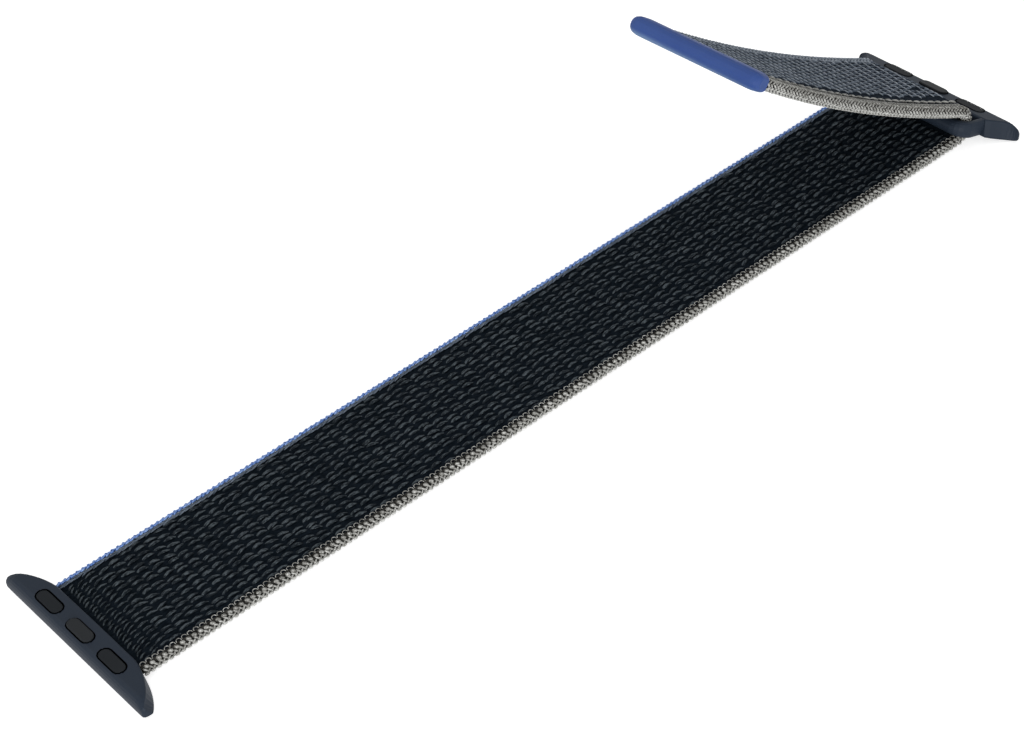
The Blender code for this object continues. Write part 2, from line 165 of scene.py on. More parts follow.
class ShaderSheet(NodeSheet):
    """A material in the making, with a Principled shader."""

    def __init__(self, name: str) -> None:
        """Start the material.

        Args:
            name: The material's name.
        """
        self.material = bpy.data.materials.new(name)
        self.material.use_nodes = True
        super().__init__(self.material.node_tree)
        self.tree.nodes.clear()
        self.output = self.tree.nodes.new("ShaderNodeOutputMaterial")
        self.shader = self.node("ShaderNodeBsdfPrincipled")
        self.link(self.shader.outputs["BSDF"], self.output.inputs["Surface"])

    def object_place(self, scale: Sequence[float]) -> NodeSocket:
        """Object coordinates, with a pattern's repeats per metre along X, Y and Z as their scale."""
        place = self.node("ShaderNodeTexCoord").outputs["Object"]
        return self.node("ShaderNodeMapping", {"Vector": place, "Scale": scale}).outputs["Vector"]

    def noise(self, place: NodeSocket, detail: float = 2.0, roughness: float = 0.5,
              scale: float = 1.0) -> NodeSocket:
        """Noise at a place, about 0 to 1, with its octaves and the share of each octave in the next."""
        inputs = {"Vector": place, "Scale": scale, "Detail": detail, "Roughness": roughness}
        return self.node("ShaderNodeTexNoise", inputs).outputs["Fac"]

    def ramp(self, factor: NodeSocket, *stops: tuple[float, Triple]) -> NodeSocket:
        """A colour that runs through stops, by a factor.

        Args:
            factor: The driving value.
            *stops: Values of the factor and their linear colours, in order, at least two.

        Returns:
            The colour.
        """
        made = self.node("ShaderNodeValToRGB", {"Fac": factor})
        elements = made.color_ramp.elements
        elements[0].position = stops[0][0]
        elements[1].position = stops[-1][0]
        for position, _ in stops[1:-1]:
            elements.new(position)
        for element, (_, colour) in zip(elements, stops):
            element.color = (*colour, 1.0)
        return made.outputs["Color"]

    def bump(self, height: NodeSocket, distance: float) -> None:
        """Give the shader a normal bumped by a height of 0 to 1, of which 1 stands for a distance in metres."""
        made = self.node("ShaderNodeBump", {"Height": height, "Distance": distance})
        self.link(made.outputs["Normal"], self.shader.inputs["Normal"])

    def set(self, **values: object) -> None:
        """Set or link the Principled shader's inputs, with _ for each space in a name."""
        for key, value in values.items():
            socket = self.shader.inputs[key.replace("_", " ")]
            if isinstance(value, NodeSocket):
                self.link(value, socket)
            else:
                socket.default_value = value


@dataclass(frozen=True)
class YarnFinish:
    """Matt nylon yarn whose filaments run along each stitch, with painted light: each stitch is lighter toward
    its top and, by rim, toward its +Y side.
    """

    name: str
    shade: Triple
    body: Triple
    light: Triple
    filament_scale: float = 3.2
    contrast: float = 1.0
    # Painted light: share by which each stitch is lighter toward its +Y side, as if lit from that side.
    rim: float = 0.0
    along_scale: float = 1.1
    fibre_scale: float = 1.6
    fibre_height: float = 0.06 * MM
    cloud_scale: float = 900.0
    seed_scale: float = 41.0
    tone_share: float = 0.30
    cloud_share: float = 0.30
    # Painted light: share by which each stitch is lighter toward its top, away from the cloth.
    painted_top_light: float = 0.30
    brightness: float = 0.30
    stops: Triple = (0.12, 0.52, 0.92)

    def make(self) -> Material:
        """Make the material.

        Returns:
            The yarn's material.
        """
        sheet = ShaderSheet(self.name)
        place = sheet.node("ShaderNodeAttribute", attribute_name=Lay.PLACE.value).outputs["Vector"]
        tone = sheet.node("ShaderNodeAttribute", attribute_name=Lay.TONE.value).outputs["Fac"]
        split = sheet.node("ShaderNodeSeparateXYZ", {0: place}).outputs
        seed = sheet.maths("MULTIPLY", tone, self.seed_scale)
        along = sheet.maths("MULTIPLY", split["X"], self.along_scale)
        across = sheet.maths("MULTIPLY", split["Y"], self.filament_scale)
        fibre_place = sheet.node("ShaderNodeCombineXYZ", {0: along, 1: across, 2: seed}).outputs[0]
        fibre = sheet.noise(fibre_place, detail=2.5, roughness=0.6, scale=self.fibre_scale)
        uneven = sheet.noise(sheet.object_place((self.cloud_scale,) * 3))
        level = sheet.maths("MULTIPLY_ADD", tone, self.tone_share, -self.tone_share / 2)
        level = sheet.maths("MULTIPLY_ADD", fibre, self.contrast, level)
        level = sheet.maths("SUBTRACT", level, self.contrast / 2 - self.brightness)
        level = sheet.maths("MULTIPLY_ADD", uneven, self.cloud_share, level)
        # Painted light: lighter toward the +Y side of each stitch, by rim.
        level = sheet.maths("MULTIPLY_ADD", split["Y"], self.rim, level)
        # Painted light: lighter toward the top of each stitch.
        level = sheet.maths("MULTIPLY_ADD", split["Z"], self.painted_top_light, level, clamp=True)
        colour = sheet.ramp(level, *zip(self.stops, (self.shade, self.body, self.light)))
        sheet.set(Base_Color=colour, Roughness=0.75, Specular_IOR_Level=0.06)
        sheet.bump(fibre, self.fibre_height)
        return sheet.material


@dataclass(frozen=True)
class GroundFinish:
    """The band's dark inner weave, seen between the stitches."""

    name: str
    low: Triple
    high: Triple
    thread_scale: Triple = (1500.0, 4200.0, 1500.0)
    thread_height: float = 0.12 * MM
    stops: tuple[float, float] = (0.35, 0.75)

    def make(self) -> Material:
        """Make the material.

        Returns:
            The ground weave's material.
        """
        sheet = ShaderSheet(self.name)
        threads = sheet.noise(sheet.object_place(self.thread_scale))
        colour = sheet.ramp(threads, *zip(self.stops, (self.low, self.high)))
        sheet.set(Base_Color=colour, Roughness=0.95, Specular_IOR_Level=0.03)
        sheet.bump(threads, self.thread_height)
        return sheet.material


@dataclass(frozen=True)
class MouldedFinish:
    """A smooth moulded or anodised surface with a fine grain."""

    name: str
    colour: Triple
    worn: Triple
    roughness: float
    grain: float = 9000.0
    grain_height: float = 0.004 * MM
    metallic: float = 0.0
    specular: float = 0.15
    subsurface: float = 0.0
    cloud_scale: float = 120.0
    roughness_spread: float = 0.10
    stops: tuple[float, float] = (0.30, 0.75)

    def base(self, sheet: ShaderSheet, cloud: NodeSocket) -> NodeSocket:
        """The surface's colour, worn by a broad noise."""
        return sheet.ramp(cloud, *zip(self.stops, (self.colour, self.worn)))

    def make(self) -> Material:
        """Make the material.

        Returns:
            The moulded finish's material.
        """
        sheet = ShaderSheet(self.name)
        grain = sheet.noise(sheet.object_place((self.grain,) * 3))
        cloud = sheet.noise(sheet.object_place((self.cloud_scale,) * 3), detail=3.0)
        smoothest = self.roughness - self.roughness_spread / 2
        sheet.set(Base_Color=self.base(sheet, cloud), Metallic=self.metallic, Specular_IOR_Level=self.specular,
                  Roughness=sheet.maths("MULTIPLY_ADD", cloud, self.roughness_spread, smoothest))
        if self.subsurface:
            sheet.set(Subsurface_Weight=self.subsurface, Subsurface_Radius=(0.35, 0.5, 1.0),
                      Subsurface_Scale=1.2 * MM)
        sheet.bump(grain, self.grain_height)
        return sheet.material


@dataclass(frozen=True)
class TabFinish(MouldedFinish):
    """The pull tab's translucent plastic, with painted light along its lower edge: a paler colour that stands in
    for light from below.
    """

    # rim is the colour of the painted light along the tab's lower edge.
    rim: Triple = (0.17, 0.27, 0.45)
    painted_light_direction: Triple = (-0.6, 0.007, -0.8)
    painted_light_start: float = 1.1 * MM
    painted_light_end: float = 0.1 * MM

    def base(self, sheet: ShaderSheet, cloud: NodeSocket) -> NodeSocket:
        """The tab's colour, with painted light along its lower edge.

        Args:
            sheet: The material in the making.
            cloud: A broad noise.

        Returns:
            The colour.
        """
        toward = Vector(self.painted_light_direction)
        reach = max(toward.dot(vertex.co) for vertex in NODES["pull_tab"].data.vertices)
        place = sheet.object_place((1.0, 1.0, 1.0))
        height = sheet.node("ShaderNodeVectorMath", {0: place, 1: toward}, operation="DOT_PRODUCT")
        span = {"Value": height.outputs["Value"], "From Min": reach - self.painted_light_start,
                "From Max": reach - self.painted_light_end}
        share = sheet.node("ShaderNodeMapRange", span, interpolation_type="SMOOTHSTEP").outputs["Result"]
        both = {0: share, 6: super().base(sheet, cloud), 7: (*self.rim, 1.0)}
        return sheet.node("ShaderNodeMix", both, data_type="RGBA").outputs[2]


class Finishes:
    """All the finishes of the strap."""

    def __init__(self) -> None:
        """Make each material once."""
        self.ground = GroundFinish("navy ground weave", (0.0030, 0.0053, 0.0082),
                                   (0.0090, 0.0138, 0.0200)).make()
        # The loops' rim paints light on the +Y side of each loop.
        self.loops = YarnFinish("charcoal loop yarn", (0.006, 0.009, 0.012), (0.017, 0.022, 0.027),
                                (0.078, 0.094, 0.106), filament_scale=1.2, contrast=3.2, rim=0.34).make()
        self.tail_ground = GroundFinish("slate ground weave", (0.006, 0.010, 0.016),
                                        (0.020, 0.028, 0.040)).make()
        self.slate = YarnFinish("slate float yarn", (0.022, 0.032, 0.046), (0.070, 0.090, 0.119),
                                (0.190, 0.225, 0.275), contrast=1.3).make()
        self.pale = YarnFinish("pale slate pick", (0.130, 0.155, 0.190), (0.300, 0.340, 0.395),
                               (0.520, 0.570, 0.640)).make()
        self.grey = YarnFinish("warm grey edge yarn", (0.050, 0.048, 0.044), (0.225, 0.222, 0.206),
                               (0.700, 0.705, 0.680), contrast=1.9).make()
        self.blue = YarnFinish("blue edge yarn", (0.014, 0.030, 0.120), (0.100, 0.220, 0.620),
                               (0.400, 0.570, 0.930), contrast=2.2).make()
        self.grey_ground = GroundFinish("grey edge ground", (0.010, 0.010, 0.009), (0.070, 0.068, 0.062)).make()
        self.blue_ground = GroundFinish("blue edge ground", (0.008, 0.014, 0.045), (0.025, 0.045, 0.160)).make()
        self.hooks = MouldedFinish("hook nylon", (0.012, 0.016, 0.024), (0.025, 0.032, 0.045), 0.45).make()
        self.lug = MouldedFinish("satin blue-grey lug", (0.0165, 0.0240, 0.0370), (0.0190, 0.0270, 0.0410),
                                 0.50, grain_height=0.0015 * MM, specular=0.12).make()
        self.elastomer = MouldedFinish("dark elastomer", (0.0120, 0.0142, 0.0168), (0.0160, 0.0186, 0.0215),
                                       0.6, grain_height=0.003 * MM, specular=0.08).make()
        self.latch = MouldedFinish("dark latch plastic", (0.0150, 0.0172, 0.0195), (0.0195, 0.0220, 0.0245),
                                   0.5, grain_height=0.002 * MM, specular=0.10).make()
        # Painted shade: the near-black colour of the rings that stand in for the shadow in the seams round the
        # pads.
        self.gap = MouldedFinish("painted seam shade", (0.0005, 0.0008, 0.0012), (0.0010, 0.0014, 0.0018), 0.9,
                                 specular=0.0).make()
        self.steel = MouldedFinish("spring steel", (0.42, 0.43, 0.45), (0.52, 0.53, 0.54), 0.3,
                                   metallic=1.0).make()
        self.tab = TabFinish("blue translucent tab", (0.038, 0.078, 0.255), (0.043, 0.087, 0.270), 0.55,
                             grain_height=0.001 * MM, subsurface=0.25).make()


# The line of the strap


@dataclass(frozen=True)
class StrapLine:
    """The path of the band's middle layer: along the flat run, round the slot bar and up the tail."""

    lip_x: float = JOINTS["fixed_lug_tilt"]["pos_m"][0]
    bar_x: float = JOINTS["slotted_lug_swivel"]["pos_m"][0]
    bar_z: float = JOINTS["slotted_lug_swivel"]["pos_m"][2]
    half_width: float = 11.0 * MM
    half_thickness: float = 1.0 * MM
    fold_turn: float = radians(153.5)
    tail_length: float = 51.5 * MM
    tail_end_slope: float = radians(39.5)
    tail_skew: float = 1.7 * MM

    @property
    def run(self) -> float:
        """Length of the flat run."""
        return self.bar_x - self.lip_x

    @property
    def fold_radius(self) -> float:
        """Radius of the middle layer in the fold."""
        return self.bar_z - self.half_thickness

    @property
    def tail_start(self) -> float:
        """Distance along the line where the tail begins."""
        return self.run + self.fold_radius * self.fold_turn

    @property
    def end(self) -> float:
        """Distance along the line where the tail meets the pull tab."""
        return self.tail_start + self.tail_length

    def place(self, distance: float, across: float, height: float) -> tuple[Vector, float]:
        """A point by its distance along the line, its place across and its height above the middle.

        Args:
            distance: Distance along the line from the fixed lug's lip.
            across: Y of the point.
            height: Height above the middle layer, toward the face with the loops.

        Returns:
            The point, and the angle through which the line has turned there.
        """
        if distance <= self.run:
            return Vector((self.lip_x + distance, across, self.half_thickness + height)), 0.0
        if distance < self.tail_start:
            turn = (distance - self.run) / self.fold_radius
            radius = self.fold_radius - height
            point = (self.bar_x + radius * sin(turn), across, self.bar_z - radius * cos(turn))
            return Vector(point), turn
        length = self.tail_length + self.tail_skew * across / self.half_width
        along = (distance - self.tail_start) * length / self.tail_length
        first = pi - self.fold_turn
        bend = (self.tail_end_slope - first) / length
        slope = first + bend * along
        x = self.bar_x + self.fold_radius * sin(self.fold_turn)
        z = self.bar_z - self.fold_radius * cos(self.fold_turn)
        x -= (sin(slope) - sin(first)) / bend + height * sin(slope)
        z += (cos(first) - cos(slope)) / bend - height * cos(slope)
        return Vector((x, across, z)), pi - slope

    def seat(self, distance: float, across: float, height: float, roll: float, heading: float) -> Matrix:
        """The frame of a stitch: X along its yarn, Z out of the cloth.

        Args:
            distance: Distance along the line.
            across: Y of the stitch.
            height: Height above the middle layer, toward the loops.
            roll: Turn about the line, 0 for the loops' face, pi for the weave's face.
            heading: Turn of the yarn in the cloth's surface, 0 for along the line.

        Returns:
            The stitch's place.
        """
        point, turn = self.place(distance, across, height)
        return (Matrix.Translation(point) @ Matrix.Rotation(-turn, 4, "Y") @ Matrix.Rotation(roll, 4, "X")
                @ Matrix.Rotation(heading, 4, "Z"))


# Stitches


class Stitch:
    """A small shape that is stamped many times into one mesh."""

    def __init__(self, name: str, shape: BMesh, number: int = 0) -> None:
        """Keep the shape as a mesh with the stitch's own attributes.

        Args:
            name: The mesh's name.
            shape: The shape, with X along the yarn. It is freed.
            number: Which of its piece's materials the stitch has.
        """
        bmesh.ops.recalc_face_normals(shape, faces=shape.faces)
        for face in shape.faces:
            face.smooth = True
            face.material_index = number
        self.mesh = bpy.data.meshes.new(name)
        shape.to_mesh(self.mesh)
        shape.free()
        self.count = len(self.mesh.vertices)
        points = [vertex.co.copy() for vertex in self.mesh.vertices]
        reach = [max(abs(point[axis]) for point in points) or 1.0 for axis in range(3)]
        place = self.mesh.attributes.new(Lay.PLACE.value, "FLOAT_VECTOR", "POINT")
        place.data.foreach_set("vector", [point[axis] / reach[axis] for point in points for axis in range(3)])
        self.mesh.attributes.new(Lay.TONE.value, "FLOAT", "POINT")

    def stamp(self, target: BMesh, seat: Matrix, tone: float) -> None:
        """Add a copy of the stitch to a mesh.

        Args:
            target: The mesh being made.
            seat: The copy's place, without shear.
            tone: The copy's own value from 0 to 1, for its colour.
        """
        self.mesh.attributes[Lay.TONE.value].data.foreach_set("value", [tone] * self.count)
        self.mesh.transform(seat)
        target.from_mesh(self.mesh)
        self.mesh.transform(seat.inverted())


def float_stitch(name: str, length: float, width: float, thickness: float, rise: float,
                 taper: float = 0.0, sides: int = 8, rings: int = 6, number: int = 0,
                 plies: int = 0, point: float = 0.0) -> Stitch:
    """A short float of yarn that arches over the ground and dips in at both ends.

    Args:
        name: The mesh's name.
        length: Length along the yarn.
        width: Width across the yarn.
        thickness: Thickness of the yarn.
        rise: Height of the arch's middle over its ends.
        taper: Share by which the leading end is narrower.
        sides: Faces round the yarn.
        rings: Faces along the yarn.
        number: Which of its piece's materials the stitch has.
        plies: Strands of the yarn, with a groove between each two.
        point: Share by which both ends are narrower.

    Returns:
        The stitch.
    """
    shape = bmesh.new()
    bmesh.ops.create_uvsphere(shape, u_segments=sides, v_segments=rings, radius=1.0,
                              matrix=Matrix.Rotation(pi / 2, 4, "Y"))
    for vertex in shape.verts:
        along = vertex.co.x
        narrow = 1.0 - taper * max(along, 0.0) - point * along * along
        if plies:
            narrow *= 1.0 - PLY_GROOVE + PLY_GROOVE * cos(plies * atan2(vertex.co.z, vertex.co.y))
        vertex.co = (along * length / 2, vertex.co.y * width / 2 * narrow,
                     vertex.co.z * thickness / 2 * narrow + rise * (1.0 - along * along))
    return Stitch(name, shape, number)


def hook_loop_stitch(name: str, radius: float, yarn: float, sweep: float) -> Stitch:
    """A horseshoe of thin yarn that lies on the cloth, open toward -Y.

    Args:
        name: The mesh's name.
        radius: Radius of the horseshoe's middle line.
        yarn: Radius of the yarn.
        sweep: Angle that the horseshoe turns through.

    Returns:
        The stitch.
    """
    shape = bmesh.new()
    start = (pi - sweep) / 2
    seat = (Matrix.Rotation(start, 4, "Z") @ Matrix.Translation((radius, 0.0, 0.0))
            @ Matrix.Rotation(pi / 2, 4, "X"))
    ring = bmesh.ops.create_circle(shape, segments=5, radius=yarn, cap_ends=True, matrix=seat)
    bmesh.ops.spin(shape, geom=list(shape.faces) + ring["verts"] + list(shape.edges), cent=(0.0, 0.0, 0.0),
                   axis=(0.0, 0.0, 1.0), angle=sweep, steps=7, use_duplicate=False)
    return Stitch(name, shape)


# The band


@dataclass(frozen=True)
class Stretch:
    """A length of the band that is one piece, with the bodies that carry its two ends."""

    number: int
    start: float
    end: float
    first_body: str
    last_body: str
    bend_start: float
    bend_end: float
    nodes: tuple[str, ...]

    def holds(self, distance: float) -> bool:
        """Whether a stitch at this distance belongs to the stretch."""
        return self.start <= distance < self.end

    @property
    def on_tail(self) -> bool:
        """Whether the stretch has the tail's colours."""
        return self.number > RUN_STRETCHES

    @property
    def slot(self) -> str:
        """The record's material slot of the stretch's cloth."""
        return "woven_tail" if self.on_tail else "woven_band"


@dataclass
class Band:
    """The woven band in its stretches, with loops on one face and a finer weave on the other."""

    line: StrapLine
    finishes: Finishes
    root_depth: float = 0.8 * MM
    lip_bend: float = 3.0 * MM
    bend_reach: float = 3.5 * MM
    peel_start: float = 2.0 * MM
    peel_end: float = 8.5 * MM

    def __post_init__(self) -> None:
        """Divide the band into stretches that meet where the cloth doesn't bend."""
        line = self.line
        section = line.run / SECTIONS
        middles = [section * (i + 0.5) for i in range(SECTIONS)]
        quarter = line.run + line.fold_radius * pi / 2
        root = line.tail_start + self.peel_start
        peel = line.tail_start + self.peel_end
        self.stretches = [Stretch(1, -self.root_depth, middles[0], "fixed_lug", "band_1", 0.0, self.lip_bend,
                                  ("band_root", "band_section_1"))]
        for i, (start, end) in enumerate(zip(middles, middles[1:]), start=1):
            hinge = (start + end) / 2
            bend = hinge - self.bend_reach, hinge + self.bend_reach
            self.stretches.append(Stretch(i + 1, start, end, f"band_{i}", f"band_{i + 1}", *bend,
                                          (f"band_section_{i + 1}",)))
        self.stretches += [
            Stretch(7, middles[-1], quarter, "band_6", "band_6", 0.0, 0.0, ("band_fold",)),
            Stretch(8, quarter, root, "band_6", "tail_root", quarter, root, ("band_tail_root",)),
            Stretch(9, root, peel, "tail_root", "tail", root, peel, ()),
            Stretch(10, peel, line.end, "tail", "tail", 0.0, 0.0, ("band_tail",)),
        ]

    def finish_piece(self, name: str, shape: BMesh, stretch: Stretch, slot: str,
                     *materials: Material) -> Object:
        """Turn a mesh into a piece that bends with its stretch of the band.

        Args:
            name: The piece's name.
            shape: The piece's mesh, which is freed.
            stretch: The stretch that carries it.
            slot: The record's material slot; not used.
            *materials: Its materials, in the order of its faces' numbers.

        Returns:
            The piece.
        """
        piece = add_mesh(name, shape, *materials)
        if stretch.first_body == stretch.last_body:
            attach(piece, stretch.first_body)
        else:
            start = self.line.place(stretch.bend_start, 0.0, 0.0)[0]
            end = self.line.place(stretch.bend_end, 0.0, 0.0)[0]
            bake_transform(piece)
        return piece

    def bend(self, shape: BMesh, stretch: Stretch, lift: float = 0.0) -> None:
        """Bend a straight bar along its stretch.

        Args:
            shape: The bar, centred on X.
            stretch: The stretch.
            lift: Height of the bar's middle over the band's, toward the loops.
        """
        middle = (stretch.start + stretch.end) / 2
        for vertex in shape.verts:
            vertex.co = self.line.place(middle + vertex.co.x, vertex.co.y, lift + vertex.co.z)[0]
        bmesh.ops.recalc_face_normals(shape, faces=shape.faces)


def straight_bar(length: float, half_width: float, half_thickness: float, cuts: int,
                 corner: float = 0.0) -> BMesh:
    """A closed bar along X with rings of faces.

    Args:
        length: Its length.
        half_width: Half its width.
        half_thickness: Half its thickness.
        cuts: Rings along it.
        corner: Radius of its long edges.

    Returns:
        The bar.
    """
    shape = bmesh.new()

    def rails() -> list[bmesh.types.BMEdge]:
        """The bar's long edges."""
        return [edge for edge in shape.edges if abs(edge.verts[0].co.x - edge.verts[1].co.x) > length / 2]

    size = Matrix.Diagonal((length, half_width * 2, half_thickness * 2, 1))
    bmesh.ops.create_cube(shape, size=1.0, matrix=size)
    if corner:
        bmesh.ops.bevel(shape, geom=rails(), offset=corner, offset_type="OFFSET", segments=5, profile=0.5,
                        affect="EDGES", material=-1)
    bmesh.ops.subdivide_edges(shape, edges=rails(), cuts=cuts, use_grid_fill=True)
    return shape


@dataclass
class Core:
    """The band's closed inner body, which replaces its CAD solids."""

    half_width: float = 10.66 * MM
    half_thickness: float = 0.68 * MM
    corner: float = 0.64 * MM
    edge_start: float = 9.6 * MM
    ring_pitch: float = 0.6 * MM

    def build(self, band: Band) -> None:
        """Add the inner body of each stretch.

        Args:
            band: The band.
        """
        for stretch in band.stretches:
            length = stretch.end - stretch.start
            shape = straight_bar(length, self.half_width, self.half_thickness,
                                 max(2, round(length / self.ring_pitch)), self.corner)
            for face in shape.faces:
                face.smooth = True
                middle = face.calc_center_median()
                if middle.y < -self.edge_start:
                    face.material_index = 1
                elif middle.y > self.edge_start and middle.z > -self.corner / 2:
                    face.material_index = 2
            band.bend(shape, stretch)
            finish = band.finishes.tail_ground if stretch.on_tail else band.finishes.ground
            piece = band.finish_piece(f"band_core_{stretch.number}", shape, stretch, stretch.slot, finish,
                                      band.finishes.grey_ground, band.finishes.blue_ground)
            if stretch.nodes:
                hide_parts(*stretch.nodes)


@dataclass
class Patch:
    """A mesh of stitches in the making, on one stretch of the band."""

    band: Band
    stretch: Stretch
    draw: random.Random
    shape: BMesh = field(default_factory=bmesh.new)

    @property
    def line(self) -> StrapLine:
        """The path of the band."""
        return self.band.line

    def jitter(self, reach: float) -> float:
        """A random value from -reach to reach."""
        return self.draw.uniform(-reach, reach)

    def sew(self, stitch: Stitch, tone: float, *place: float) -> None:
        """Add a stitch with its own tone, at a place with the arguments of StrapLine.seat."""
        stitch.stamp(self.shape, self.line.seat(*place), tone)

    def finish(self, name: str, *materials: Material) -> None:
        """Turn the mesh into a piece of the band, whose name ends with the stretch's number."""
        number, slot = self.stretch.number, self.stretch.slot
        self.band.finish_piece(f"{name}_{number}", self.shape, self.stretch, slot, *materials)


@dataclass(frozen=True)
class LipRow:
    """One of the crowded rows of loops beside the fixed lug's lip, with its heading in degrees."""

    distance: float
    pitch: float
    heading: float
    length: float
    width: float


@dataclass
class LoopFace:
    """The face of the band with the rows of loops. Headings are in degrees."""

    seed: int = 11
    row_pitch: float = 1.934 * MM
    first_row: float = 6.45 * MM
    pair_pitch: float = 2.31 * MM
    pair_split: float = 0.98 * MM
    row_shift: float = -0.78 * MM
    first_shift: float = 1.905 * MM
    length: float = 2.42 * MM
    width: float = 0.70 * MM
    yarn: float = 0.28 * MM
    rise: float = 0.33 * MM
    base: float = 0.52 * MM
    near_limit: float = -9.60 * MM
    far_limit: float = 9.30 * MM
    bar_margin: float = 1.0 * MM
    stagger: float = 0.12 * MM
    heading: float = -4.0
    heading_spread: float = 7.0
    side_jitter: float = 0.09 * MM
    row_jitter: float = 0.10 * MM
    base_jitter: float = 0.05 * MM
    point: float = 0.25
    variants: tuple[tuple[float, ...], ...] = ((1.0, 1.0, 1.0, 0.45), (0.90, 1.05, 1.15, 0.35),
                                               (1.06, 0.90, 0.95, 0.50), (0.96, 0.82, 1.05, 0.40))
    lip_rows: tuple[LipRow, ...] = (LipRow(1.45 * MM, 0.74 * MM, 26.0, 1.75 * MM, 0.40 * MM),
                                    LipRow(2.95 * MM, 0.814 * MM, 19.0, 1.95 * MM, 0.34 * MM),
                                    LipRow(4.65 * MM, 0.999 * MM, 8.0, 2.25 * MM, 0.48 * MM))
    lip_shift: float = 0.3 * MM
    lip_row_jitter: float = 0.18 * MM
    lip_side_jitter: float = 0.08 * MM
    lip_heights: tuple[float, float] = (-0.08 * MM, 0.05 * MM)

    def build(self, band: Band) -> None:
        """Add the loops of every stretch up to the slot bar.

        Args:
            band: The band that carries them.
        """
        draw = random.Random(self.seed)
        loops = [float_stitch(f"loop_{i}", self.length * scale, self.width * wide, self.yarn, self.rise * high,
                              taper=taper, sides=12, plies=6, point=self.point)
                 for i, (scale, wide, high, taper) in enumerate(self.variants)]
        lip_loops = [float_stitch(f"lip_loop_{i}", row.length, row.width, self.yarn, self.rise, taper=0.3,
                                  sides=10, plies=5, point=self.point) for i, row in enumerate(self.lip_rows)]
        for stretch in band.stretches[:RUN_STRETCHES]:
            patch = Patch(band, stretch, draw)
            self.add_lip(patch, lip_loops)
            self.add_rows(patch, loops)
            patch.finish("band_loops", band.finishes.loops)

    def add_lip(self, patch: Patch, lip_loops: Sequence[Stitch]) -> None:
        """Add the crowded loops beside the fixed lug's lip.

        Args:
            patch: The mesh being made.
            lip_loops: The loops of each row, from the lip on.
        """
        for i, (row, loop) in enumerate(zip(self.lip_rows, lip_loops)):
            across = self.near_limit + i * self.lip_shift
            while patch.stretch.holds(row.distance) and across < self.far_limit:
                heading = radians(row.heading + patch.draw.gauss(0.0, self.heading_spread))
                distance = row.distance + patch.jitter(self.lip_row_jitter)
                y = across + patch.jitter(self.lip_side_jitter)
                height = self.base + patch.draw.uniform(*self.lip_heights)
                patch.sew(loop, patch.draw.random(), distance, y, height, 0.0, heading)
                across += row.pitch

    def add_rows(self, patch: Patch, loops: Sequence[Stitch]) -> None:
        """Add the regular rows of paired loops.

        Args:
            patch: The mesh being made.
            loops: The loop shapes to choose from.
        """
        half_width = patch.line.half_width
        rows = int((patch.line.run + self.bar_margin - self.first_row) / self.row_pitch)
        for row in range(rows):
            distance = self.first_row + row * self.row_pitch
            if not patch.stretch.holds(distance):
                continue
            start = (self.first_shift + row * self.row_shift) % self.pair_pitch
            across = start - self.pair_pitch * round(half_width / self.pair_pitch + 1)
            while across < half_width:
                for side in (-0.5, 0.5):
                    y = across + side * self.pair_split + patch.jitter(self.side_jitter)
                    heading = radians(patch.draw.gauss(self.heading, self.heading_spread))
                    along = distance + patch.jitter(self.row_jitter) - side * self.stagger
                    height = self.base + patch.jitter(self.base_jitter)
                    loop = patch.draw.choice(loops)
                    tone = patch.draw.random()
                    if self.near_limit < y < self.far_limit:
                        patch.sew(loop, tone, along, y, height, 0.0, heading)
                across += self.pair_pitch


@dataclass
class WeaveFace:
    """The finer face of the band: the underside of the run, the outside of the fold and the top of the tail."""

    seed: int = 23
    row_pitch: float = 1.90 * MM
    cell_pitch: float = 1.16 * MM
    cell_shift: float = 0.29
    slant: float = radians(12.0)
    base: float = 0.60 * MM
    pick_lift: float = 0.12 * MM
    near_limit: float = -6.0 * MM
    far_limit: float = 9.2 * MM
    lip_margin: float = 0.3 * MM
    end_margin: float = 0.4 * MM
    row_jitter: float = 0.06 * MM
    base_jitter: float = 0.03 * MM
    heading_jitter: float = 0.06

    def build(self, band: Band) -> None:
        """Add the floats and pale picks of every stretch.

        Args:
            band: The band that carries them.
        """
        wide = float_stitch("weave_float", 1.46 * MM, 0.72 * MM, 0.34 * MM, 0.18 * MM, sides=12, plies=6)
        pick = float_stitch("pale_pick", 1.36 * MM, 0.22 * MM, 0.22 * MM, 0.08 * MM, sides=6, rings=5)
        for stretch in band.stretches:
            draw = random.Random(self.seed)
            floats, picks = Patch(band, stretch, draw), Patch(band, stretch, draw)
            self.add_cells(floats, picks, wide, pick)
            floats.finish("weave_floats", band.finishes.slate)
            picks.finish("weave_picks", band.finishes.pale)

    def add_cells(self, floats: Patch, picks: Patch, wide: Stitch, pick: Stitch) -> None:
        """Add the cells of one stretch.

        Args:
            floats: The mesh of the floats.
            picks: The mesh of the pale picks.
            wide: The float's shape.
            pick: The pick's shape.
        """
        line, draw = floats.line, floats.draw
        columns = int(2 * line.half_width / self.cell_pitch)
        for row in range(-1, int(line.end / self.row_pitch) + 3):
            for column in range(columns):
                y = self.near_limit + column * self.cell_pitch + (self.cell_shift * row % 1.0) * self.cell_pitch
                distance = row * self.row_pitch - tan(self.slant) * y + floats.jitter(self.row_jitter)
                height = -self.base + floats.jitter(self.base_jitter)
                tone, second = draw.random(), draw.random()
                inside = y <= self.far_limit and self.lip_margin <= distance <= line.end - self.end_margin
                if inside and floats.stretch.holds(distance):
                    floats.sew(wide, tone, distance, y, height, pi, 0.0)
                    heading = pi / 2 - self.slant + floats.jitter(self.heading_jitter)
                    picks.sew(pick, second, distance + self.row_pitch / 2, y, height - self.pick_lift, pi,
                              heading)


@dataclass(frozen=True)
class KnitRow:
    """One row of stitches along an edge of the band, with its angle round the edge in degrees."""

    stitch: Stitch
    angle: float
    pitch: float
    phase: float = 0.0
    heading: float = 0.0
    low_tone: float = 0.0
    radius: float = 0.84 * MM
    high_tone: float = 1.0


